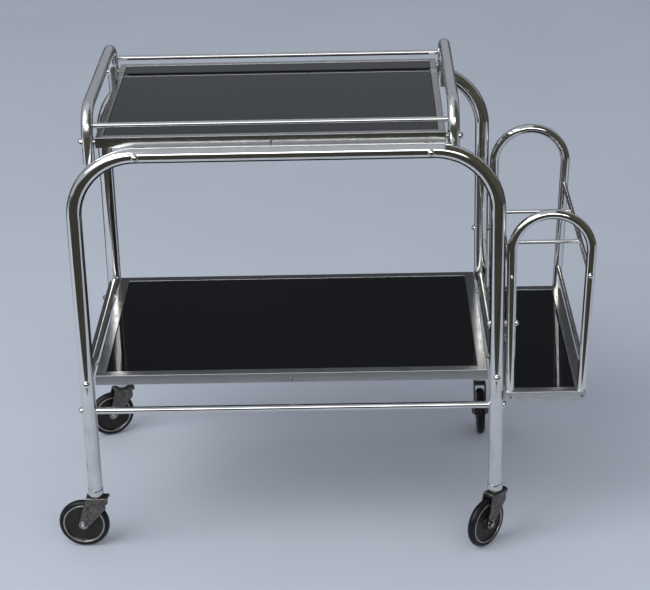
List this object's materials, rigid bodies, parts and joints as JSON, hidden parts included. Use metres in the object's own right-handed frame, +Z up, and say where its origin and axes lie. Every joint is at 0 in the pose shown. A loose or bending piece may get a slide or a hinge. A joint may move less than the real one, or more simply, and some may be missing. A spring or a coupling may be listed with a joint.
{
  "type": "serving trolley",
  "caption": "Tubular serving trolley with a glass shelf, a lift-off glass tray with carrying handles, a side bottle rack and swivel casters.",
  "frame": {"origin": "on the floor, under the middle of the whole trolley's bounding box", "axes": "+X along the trolley towards the bottle rack, +Y from the front frame to the rear frame, +Z up"},
  "size_m": [0.7994, 0.4358, 0.6928],
  "materials": {
    "chrome_tube": "polished, lightly worn",
    "nickel_channel": "worn nickel plating",
    "handle_tube": "brushed and dulled by handling",
    "black_glass": "polished opaque black glass",
    "fastener": "polished",
    "plain_steel": "worn zinc plating",
    "fork_steel": "tarnished plating with brown speckles",
    "wheel_disc": "worn grey paint with a bright rim",
    "tyre_rubber": "hard black rubber"
  },
  "bodies": {
    "trolley": {"front_frame_tube": "chrome_tube", "rear_frame_tube": "chrome_tube", "upper_cross_tube_left": "chrome_tube", "upper_cross_tube_right": "chrome_tube", "lower_cross_tube_left": "chrome_tube", "lower_cross_tube_right": "chrome_tube", "cross_tube_bolts": "fastener", "front_stretcher_rod": "chrome_tube", "rear_stretcher_rod": "chrome_tube", "stretcher_bolts": "fastener", "shelf_frame": "nickel_channel", "shelf_glass": "black_glass", "shelf_stiffener": "plain_steel", "shelf_spacers": "plain_steel", "shelf_screws": "fastener", "rack_front_arch": "chrome_tube", "rack_rear_arch": "chrome_tube", "rack_frame": "nickel_channel", "rack_glass": "black_glass", "rack_upper_rail_left": "chrome_tube", "rack_upper_rail_right": "chrome_tube", "rack_lower_rail_left": "chrome_tube", "rack_lower_rail_right": "chrome_tube", "rack_dividers": "chrome_tube", "rack_rail_bolts": "fastener", "rack_mounting_bolts": "fastener", "rack_mounting_spacers": "plain_steel", "rack_frame_screws": "fastener", "caster_sockets": "chrome_tube"},
    "tray": {"tray_frame": "nickel_channel", "tray_glass": "black_glass", "tray_stiffener": "plain_steel", "tray_handle_left": "handle_tube", "tray_handle_right": "handle_tube", "tray_rail_front": "chrome_tube", "tray_rail_rear": "chrome_tube", "tray_handle_bolts": "fastener", "tray_handle_spacers": "plain_steel", "tray_screws": "fastener"},
    "front_left_caster": {"front_left_fork": "fork_steel", "front_left_stem": "plain_steel", "front_left_axle": "plain_steel"},
    "front_left_wheel": {"front_left_wheel_disc": "wheel_disc", "front_left_tyre": "tyre_rubber"},
    "front_right_caster": {"front_right_fork": "fork_steel", "front_right_stem": "plain_steel", "front_right_axle": "plain_steel"},
    "front_right_wheel": {"front_right_wheel_disc": "wheel_disc", "front_right_tyre": "tyre_rubber"},
    "rear_left_caster": {"rear_left_fork": "fork_steel", "rear_left_stem": "plain_steel", "rear_left_axle": "plain_steel"},
    "rear_left_wheel": {"rear_left_wheel_disc": "wheel_disc", "rear_left_tyre": "tyre_rubber"},
    "rear_right_caster": {"rear_right_fork": "fork_steel", "rear_right_stem": "plain_steel", "rear_right_axle": "plain_steel"},
    "rear_right_wheel": {"rear_right_wheel_disc": "wheel_disc", "rear_right_tyre": "tyre_rubber"}
  },
  "joints": [
    {"name": "front_left_swivel", "type": "hinge", "parent": "trolley", "child": "front_left_caster", "pos_m": [-0.34029, -0.17259, 0.0848], "axis": [0, 0, 1], "continuous": true},
    {"name": "front_left_roll", "type": "hinge", "parent": "front_left_caster", "child": "front_left_wheel", "pos_m": [-0.36126, -0.17149, 0.0385], "axis": [0.0523, 0.9986, 0], "continuous": true},
    {"name": "front_right_swivel", "type": "hinge", "parent": "trolley", "child": "front_right_caster", "pos_m": [0.25971, -0.17259, 0.0848], "axis": [0, 0, 1], "continuous": true},
    {"name": "front_right_roll", "type": "hinge", "parent": "front_right_caster", "child": "front_right_wheel", "pos_m": [0.24539, -0.18795, 0.0385], "axis": [-0.7314, 0.682, 0], "continuous": true},
    {"name": "rear_left_swivel", "type": "hinge", "parent": "trolley", "child": "rear_left_caster", "pos_m": [-0.34029, 0.19941, 0.0848], "axis": [0, 0, 1], "continuous": true},
    {"name": "rear_left_roll", "type": "hinge", "parent": "rear_left_caster", "child": "rear_left_wheel", "pos_m": [-0.35947, 0.19087, 0.0385], "axis": [-0.4067, 0.9135, 0], "continuous": true},
    {"name": "rear_right_swivel", "type": "hinge", "parent": "trolley", "child": "rear_right_caster", "pos_m": [0.25971, 0.19941, 0.0848], "axis": [0, 0, 1], "continuous": true},
    {"name": "rear_right_roll", "type": "hinge", "parent": "rear_right_caster", "child": "rear_right_wheel", "pos_m": [0.25971, 0.17841, 0.0385], "axis": [-1, 0, 0], "continuous": true},
    {"name": "tray_lift", "type": "slide", "parent": "trolley", "child": "tray", "axis": [0, 0, 1], "range_m": [0, 0.25]}
  ]
}
